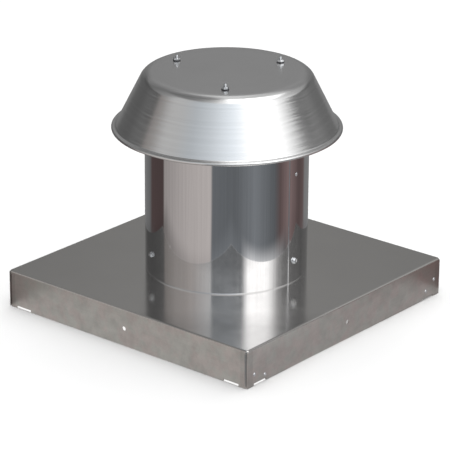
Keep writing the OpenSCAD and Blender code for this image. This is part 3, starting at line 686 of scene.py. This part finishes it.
class VENTCAP_OT_rivets(bpy.types.Operator):
    """Set the pop rivets, each with the small pit that its pin leaves"""
    bl_idname = "ventcap.rivets"
    bl_label = "Rivets"

    def execute(self, context):
        throat = context.scene.throat_sizes
        lap = throat.radius + throat.sheet + 0.1 * MM
        wall = throat.radius + 0.1 * MM
        edge = -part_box("curb_cap")[0].x
        corner = []
        for side, across, down in ((-1, 17.5, 42.5), (-1, 42, 50.4), (1, 15, 32.7),
                                   (1, 36, 47)):
            for face in (-1, 1):
                spot = Vector((-face * side * (edge - across * MM), face * edge,
                               DECK - down * MM))
                corner.append((spot, Vector((0, face, 0))))
        seam = [(polar(-84.48, lap, DECK + z), polar(-84.48, 1, 0)) for z in (0.1773, 0.2373)]
        straps = [(polar(a, wall, DECK + z), polar(a, 1, 0))
                  for a in (-22.25, -142.25, -262.25) for z in (0.222, 0.238)]
        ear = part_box("damper_frame")[1].x
        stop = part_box("stop_rivets")
        middle = (stop[0].z + stop[1].z) / 2
        ends = [(Vector((side * ear, 0, middle)), Vector((side, 0, 0))) for side in (-1, 1)]
        for node, grip, spots in (("corner_rivets", 2.75, corner), ("seam_rivets", 2.1, seam),
                                  ("bracket_rivets", 3.87, straps),
                                  ("stop_rivets", 2.0, ends)):
            self.set_rivets(context, node, grip * MM, spots)
        return {"FINISHED"}

    def set_rivets(self, context, node, grip, spots):
        r = context.scene.fastener_sizes.rivet_r
        outline = [(0, 0.3 * r), (0.42 * r, 0.32 * r), (0.5 * r, 0.66 * r), (0.8 * r, 0.69 * r),
                   (1.2 * r, 0.56 * r), (1.6 * r, 0.36 * r), (1.92 * r, 0.14 * r),
                   (1.98 * r, 0.04 * r), (1.9 * r, 0), (r, 0), (r, -grip - 0.1 * MM),
                   (1.45 * r, -grip - 0.1 * MM), (1.5 * r, -grip - 0.7 * r),
                   (1.2 * r, -grip - 1.3 * r), (0.7 * r, -grip - 1.6 * r),
                   (0, -grip - 1.6 * r)]
        rivet = lathe(node, outline, 24)
        for i, (o, (spot, out)) in enumerate(zip(copies(rivet, len(spots)), spots)):
            put_at(o, spot, out, 40 * i)
            complete(o, f"{node[:-1]}_{i + 1}", bpy.data.materials["rivet_aluminium"],
                     "housing", [node], 50)


class VENTCAP_OT_springs(bpy.types.Operator):
    """Wind the two torsion springs that close the damper blades"""
    bl_idname = "ventcap.springs"
    bl_label = "Damper springs"

    def execute(self, context):
        s = context.scene.fastener_sizes
        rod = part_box("damper_rod")
        middle = (rod[0].z + rod[1].z) / 2
        start, lean, turns = 180, 13, 5
        total = 360 * turns + 270 + lean
        x0, x1 = -111.4 * MM, -103.9 * MM
        ear = -0.1215
        line = [(ear - 1.9 * MM, -s.coil_r, 16 * MM), (ear + 1.3 * MM, -s.coil_r, 16 * MM),
                (ear + 2.3 * MM, -s.coil_r, 15.6 * MM), (ear + 2.8 * MM, -s.coil_r, 15 * MM)]
        count = 32 * turns
        for i in range(count + 1):
            a = math.radians(start + total * i / count)
            line.append((x0 + (x1 - x0) * i / count, s.coil_r * math.cos(a),
                         s.coil_r * math.sin(a)))
        last = line[-1]
        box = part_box("damper_spring_front")
        reach = box[0].y + s.wire_r
        drop = (last[1] - reach) * math.tan(math.radians(lean))
        line.append((last[0] + 0.3 * MM, reach, last[2] - drop))
        for name, blade, turn in (("front", "front_blade", 0), ("rear", "rear_blade", 180)):
            spring = draw_line(f"spring_{name}", [(x, y, z + middle) for x, y, z in line])
            bpy.ops.object.mode_set(mode="OBJECT")
            bpy.ops.object.convert(target="CURVE")
            spring = bpy.context.object
            spring.data.bevel_depth = s.wire_r
            spring.data.bevel_resolution = 2
            spring.data.use_fill_caps = True
            bpy.ops.object.convert(target="MESH")
            spring = bpy.context.object
            bpy.ops.object.transform_apply(location=True, rotation=True, scale=True)
            spring.rotation_euler = (0, 0, math.radians(turn))
            complete(spring, f"damper_spring_wire_{name}", bpy.data.materials["spring_steel"],
                     None, [f"damper_spring_{name}"], 60)
            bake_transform(spring)
        return {"FINISHED"}


# ---------------------------------------------------------------- studio


def bearing(turn, reach, height):
    """A place in the studio: degrees right of the photographer, distance and height."""
    a = math.radians(FACING + turn)
    return (reach * math.cos(a), reach * math.sin(a), height)


# The tints of what stands round the studio: cream paper, blue daylight, and a red-brown cloth.
CREAM = (1.0, 0.92, 0.88)
DAYLIGHT = (0.94, 1.0, 1.06)
CLOTH = (1.0, 0.72, 0.7)


def ramp(tree, share, tones):
    node = add(tree, "ValToRGB", {"Fac": share.outputs["Result"]})
    stops = node.color_ramp.elements
    stops.remove(stops[1])
    for turn, tone, *tint in tones:
        stop = stops.new((turn + 180) / 360) if turn > -180 else stops[0]
        stop.color = rgba([tone * part for part in (tint[0] if tint else (1, 1, 1))])
    return node.outputs["Color"]


def mirrored_only(o):
    """Stage a glowing surface so that it shows only in what mirrors it."""
    o.visible_camera = False
    o.visible_diffuse = False
    o.visible_shadow = False
    o.visible_transmission = False


def screen(name, outline, tones, strength=1.0, near=None):
    """A glowing surround that only polished metal sees: an outline of (distance, height)
    spun round the studio, with its tones given bearing by bearing. The near tones are those
    close to the deck's edges, and fade into the others."""
    o = lathe(name, outline, 96)
    bpy.ops.object.transform_apply(location=True, rotation=True, scale=True)
    material, tree, output = new_material(name)
    place = add(tree, "SeparateXYZ", {"Vector": add(tree, "TexCoord").outputs["Object"]})
    around = add(tree, "Math", {0: place.outputs["Y"], 1: place.outputs["X"]},
                 operation="ARCTAN2")
    turned = add(tree, "Math", {0: around.outputs["Value"], 1: math.radians(FACING - 360)},
                 operation="SUBTRACT")
    turned = add(tree, "Math", {0: turned.outputs["Value"], 1: math.pi, 2: -math.pi},
                 operation="WRAP")
    radius = bpy.context.scene.throat_sizes.radius
    # A band's edge follows the line that the round throat mirrors, so that it stands upright.
    half = add(tree, "Math", {0: turned.outputs["Value"], 1: 0.5}, operation="MULTIPLY")
    lean = add(tree, "Math", {0: half.outputs["Value"]}, operation="SINE")
    reach = add(tree, "VectorMath", {0: place.inputs["Vector"].links[0].from_socket,
                                     1: (1.0, 1.0, 0.0)}, operation="MULTIPLY")
    reach = add(tree, "VectorMath", {0: reach.outputs["Vector"]}, operation="LENGTH")
    lean = add(tree, "Math", {0: lean.outputs["Value"], 1: reach.outputs["Value"]},
               operation="DIVIDE")
    lean = add(tree, "Math", {0: lean.outputs["Value"], 1: radius,
                              2: turned.outputs["Value"]}, operation="MULTIPLY_ADD")
    share = add(tree, "MapRange", {"Value": lean.outputs["Value"], "From Min": -math.pi,
                                   "From Max": math.pi})
    glow = ramp(tree, share, tones)
    if near:
        edge = add(tree, "VectorMath", {0: place.inputs["Vector"].links[0].from_socket},
                   operation="ABSOLUTE")
        edge = add(tree, "SeparateXYZ", {"Vector": edge.outputs["Vector"]})
        edge = add(tree, "Math", {0: edge.outputs["X"], 1: edge.outputs["Y"]},
                   operation="MAXIMUM")
        fade = add(tree, "MapRange", {"Value": edge.outputs["Value"], "From Min": 0.33,
                                      "From Max": 0.47}, interpolation_type="SMOOTHSTEP")
        mix = add(tree, "MixRGB", {"Fac": fade.outputs["Result"],
                                   "Color1": ramp(tree, share, near), "Color2": glow})
        glow = mix.outputs["Color"]
    light = add(tree, "Emission", {"Color": glow, "Strength": strength})
    tree.links.new(light.outputs["Emission"], output.inputs["Surface"])
    o.data.materials.append(material)
    mirrored_only(o)


class VENTCAP_OT_studio(bpy.types.Operator):
    """Set up the camera, the white floor, the lamps and the surround that the metal mirrors"""
    bl_idname = "ventcap.studio"
    bl_label = "Studio"

    def execute(self, context):
        self.camera(context)
        self.floor()
        self.lamps(context)
        self.surroundings()
        return {"FINISHED"}

    def camera(self, context):
        place = Vector((-2.92087, -2.42261, 1.54437 + DECK))
        turn, fall, roll = math.radians(50.2946), math.radians(21.2966), math.radians(-0.394128)
        right = Vector((math.cos(turn), -math.sin(turn), 0))
        away = Vector((math.sin(turn) * math.cos(fall), math.cos(turn) * math.cos(fall),
                       -math.sin(fall)))
        up = right.cross(away)
        side = math.cos(roll) * right - math.sin(roll) * up
        deselect()
        bpy.ops.object.camera_add(location=place)
        camera = bpy.context.object
        head = math.sin(roll) * right + math.cos(roll) * up
        camera.rotation_euler = matrix_of(side, head, -away).to_euler()
        camera.data.lens = 208.0
        camera.data.sensor_width = 36.0
        camera.data.clip_end = 60
        context.scene.camera = camera

    def floor(self):
        deselect()
        bpy.ops.mesh.primitive_circle_add(vertices=96, radius=14, fill_type="NGON",
                                          location=(0, 0, -0.0002))
        floor = bpy.context.object
        floor.name = "floor"
        material, tree, output = new_material("white_floor")
        chalk = add(tree, "BsdfDiffuse", {"Color": (0.86, 0.86, 0.86, 1)})
        # Under the cap the floor glows, so that its notches and holes show white as in the
        # picture. Towards the right it fades, since nothing shows white there.
        place = add(tree, "VectorMath", {0: add(tree, "TexCoord").outputs["Object"]},
                    operation="ABSOLUTE")
        place = add(tree, "SeparateXYZ", {"Vector": place.outputs["Vector"]})
        reach = add(tree, "Math", {0: place.outputs["X"], 1: place.outputs["Y"]},
                    operation="MAXIMUM")
        under = add(tree, "MapRange", {"Value": reach.outputs["Value"], "From Min": 0.2385,
                                       "From Max": 0.2395, "To Min": 0.85, "To Max": 0.05})
        side = add(tree, "SeparateXYZ", {"Vector": add(tree, "TexCoord").outputs["Object"]})
        fade = add(tree, "MapRange", {"Value": side.outputs["X"], "From Min": -0.2,
                                      "From Max": 0.2, "To Min": 1.0, "To Max": 0.0})
        glow = add(tree, "Math", {0: under.outputs["Result"], 1: fade.outputs["Result"]},
                   operation="MULTIPLY")
        glow = add(tree, "Math", {0: glow.outputs["Value"], 1: 0.05}, operation="MAXIMUM")
        own = add(tree, "Emission", {"Color": (1, 1, 1, 1), "Strength": glow.outputs["Value"]})
        both = add(tree, "AddShader", {0: chalk.outputs["BSDF"], 1: own.outputs["Emission"]})
        # From below the floor is clear, so that the underside can be looked at.
        clear = add(tree, "MixShader", {0: add(tree, "NewGeometry").outputs["Backfacing"],
                                        1: both.outputs["Shader"],
                                        2: add(tree, "BsdfTransparent").outputs["BSDF"]})
        tree.links.new(clear.outputs["Shader"], output.inputs["Surface"])
        floor.data.materials.append(material)
        floor.visible_glossy = False

    def lamps(self, context):
        world = bpy.data.worlds.new("studio_air")
        context.scene.world = world
        world.use_nodes = True
        tree = world.node_tree
        tree.nodes.clear()
        output = tree.nodes.new("ShaderNodeOutputWorld")
        path = add(tree, "LightPath")
        air = add(tree, "Background", {"Color": (0.5, 0.5, 0.5, 1), "Strength": 1.0})
        white = add(tree, "Background", {"Color": (1, 1, 1, 1), "Strength": 1.0})
        mix = add(tree, "MixShader", {0: path.outputs["Is Camera Ray"],
                                      1: air.outputs["Background"],
                                      2: white.outputs["Background"]})
        tree.links.new(mix.outputs["Shader"], output.inputs["Surface"])
        self.daylight()

    def daylight(self):
        deselect()
        bpy.ops.object.light_add(type="SUN", location=bearing(154, 0.8, 3.5))
        sun = bpy.context.object
        sun.name = "window_light"
        sun.data.energy = 2.27
        sun.data.angle = math.radians(85)
        sun.rotation_euler = (-sun.location).to_track_quat("-Z", "Y").to_euler()
        # Metal sees the surround in place of the lamp, so that no highlight burns out.
        sun.visible_glossy = False

    def surroundings(self):
        # The throat mirrors the floor in upright bands, from left to right. These are the
        # tones of lamps and paper, set to give bands like those in the picture.
        floor = [(-180, 0.25), (-136, 0.15), (-129, 0.09, CLOTH), (-99, 0.08, CLOTH),
                 (-97, 0.35, CREAM), (-60, 0.5, CREAM), (-22, 0.57, CREAM),
                 (-19.5, 0.17, DAYLIGHT), (12, 0.15, DAYLIGHT), (40, 0.24, DAYLIGHT),
                 (70, 0.13, DAYLIGHT), (80, 0.13, CLOTH), (97, 0.25, CLOTH), (118, 0.11, CLOTH),
                 (138, 0.14, CLOTH), (146, 0.22),
                 (180, 0.25)]
        near = [(-180, 0.2), (-136, 0.1), (-118, 0.07, CLOTH), (-99, 0.07, CLOTH),
                (-97, 0.2, CREAM), (-60, 0.35, CREAM), (-22, 0.5, CREAM),
                (-19.5, 0.22, DAYLIGHT), (20, 0.2, DAYLIGHT), (34, 1.0), (60, 0.85), (88, 0.15),
                (100, 0.2, CLOTH), (118, 0.1, CLOTH), (160, 0.2), (180, 0.2)]
        screen("floor_surround", [(0.05, 0.0004), (4.0, 0.0004)], floor, near=near)
        wall = [(-180, 0.12), (-148, 0.04), (-99, 0.05), (-97, 0.13, CREAM),
                (-50, 0.25, CREAM), (-22, 0.35), (-19.5, 0.11, DAYLIGHT), (22, 0.08, DAYLIGHT),
                (32, 1.0), (60, 0.93), (77, 0.22), (88, 0.08), (134, 0.05), (180, 0.12)]
        screen("wall_surround", [(4.8, 1.55), (4.8, 2.3)], wall, 2.0)
        low = [(-180, 0.12), (-150, 0.06), (-125, 0.05), (-110, 0.075), (-95, 0.19),
               (-85, 0.26), (-70, 0.28), (-20, 0.3), (20, 0.4), (34, 0.7), (60, 0.7),
               (80, 0.32), (95, 0.21), (110, 0.115), (130, 0.075), (150, 0.07), (180, 0.12)]
        screen("low_surround", [(4.0, 0.0004), (4.8, 0.9), (4.8, 1.55)], low, 2.0)
        sky = [(-180, 0.2), (-130, 0.1), (-92, 0.19), (-76, 0.34), (-60, 0.32),
               (-42, 0.33, DAYLIGHT), (-20, 0.44, DAYLIGHT), (10, 0.67, DAYLIGHT), (34, 0.95),
               (60, 0.95),
               (78, 0.62), (94, 0.47), (110, 0.3), (150, 0.16), (180, 0.2)]
        screen("sky_surround", [(4.8, 2.3), (3.0, 3.6)], sky, 1.5)
        top = [(-180, 0.32), (-160, 0.14), (-120, 0.06), (-60, 0.09), (-25, 0.2), (0, 0.5),
               (30, 0.95), (90, 0.9), (120, 0.35), (150, 0.2), (170, 0.32), (180, 0.32)]
        screen("top_surround", [(3.0, 3.6), (0.01, 4.2)], top, 2.3)
        self.apron()

    def apron(self):
        # The skirts mirror only the floor just below them, a cross that leaves its corners out.
        deselect()
        bpy.ops.mesh.primitive_plane_add(size=2, location=(0, 0, 0.0008))
        o = bpy.context.object
        bpy.ops.transform.resize(value=(0.345, 0.241, 1))
        bpy.ops.mesh.primitive_plane_add(size=2, location=(0.007, 0, 0.0012))
        other = bpy.context.object
        bpy.ops.transform.resize(value=(0.248, 0.345, 1))
        join(o, other)
        bpy.ops.object.transform_apply(location=True, rotation=True, scale=True)
        o.name = "apron_surround"
        material, tree, output = new_material(o.name)
        # The floor is in shade to the left, and darker still in front of the right skirt.
        place = add(tree, "VectorMath", {0: add(tree, "TexCoord").outputs["Object"]},
                    operation="ABSOLUTE")
        place = add(tree, "SeparateXYZ", {"Vector": place.outputs["Vector"]})
        front = add(tree, "Math", {0: place.outputs["Y"], 1: place.outputs["X"]},
                    operation="GREATER_THAN")
        tone = add(tree, "MixRGB", {"Fac": front.outputs["Value"],
                                    "Color1": (0.44, 0.42, 0.41, 1),
                                    "Color2": (0.35, 0.33, 0.33, 1)})
        light = add(tree, "Emission", {"Color": tone.outputs["Color"], "Strength": 1.0})
        tree.links.new(light.outputs["Emission"], output.inputs["Surface"])
        o.data.materials.append(material)
        mirrored_only(o)


def matrix_of(x, y, z):
    return Matrix((x, y, z)).transposed()


# ---------------------------------------------------------------- add-on


class VENTCAP_PT_panel(bpy.types.Panel):
    """Lists the pieces of the roof vent cap"""
    bl_idname = "VENTCAP_PT_panel"
    bl_label = "Roof vent cap"
    bl_space_type = "VIEW_3D"
    bl_region_type = "UI"
    bl_category = "Vent cap"

    def draw(self, context):
        for step in STEPS:
            self.layout.operator(step.bl_idname)
        for group in GROUPS:
            holder = getattr(context.scene, group)
            box = self.layout.box()
            for key in holder.bl_rna.properties.keys():
                if key not in ("rna_type", "name"):
                    box.prop(holder, key)


STEPS = (VENTCAP_OT_finishes, VENTCAP_OT_hood, VENTCAP_OT_throat, VENTCAP_OT_fasteners,
         VENTCAP_OT_rivets, VENTCAP_OT_springs, VENTCAP_OT_studio)
GROUPS = {"hood_sizes": HoodSizes, "throat_sizes": ThroatSizes,
          "fastener_sizes": FastenerSizes,
          "finish_colours": FinishColours}


def register():
    for kind in (*GROUPS.values(), *STEPS, VENTCAP_PT_panel):
        bpy.utils.register_class(kind)
    for name, kind in GROUPS.items():
        setattr(bpy.types.Scene, name, bpy.props.PointerProperty(type=kind))


def unregister():
    for name in GROUPS:
        delattr(bpy.types.Scene, name)
    for kind in reversed((*GROUPS.values(), *STEPS, VENTCAP_PT_panel)):
        bpy.utils.unregister_class(kind)


def main():
    register()
    bpy.context.scene.view_settings.view_transform = "Standard"
    for step in STEPS:
        group, name = step.bl_idname.split(".")
        getattr(getattr(bpy.ops, group), name)()


if __name__ == "__main__":
    main()
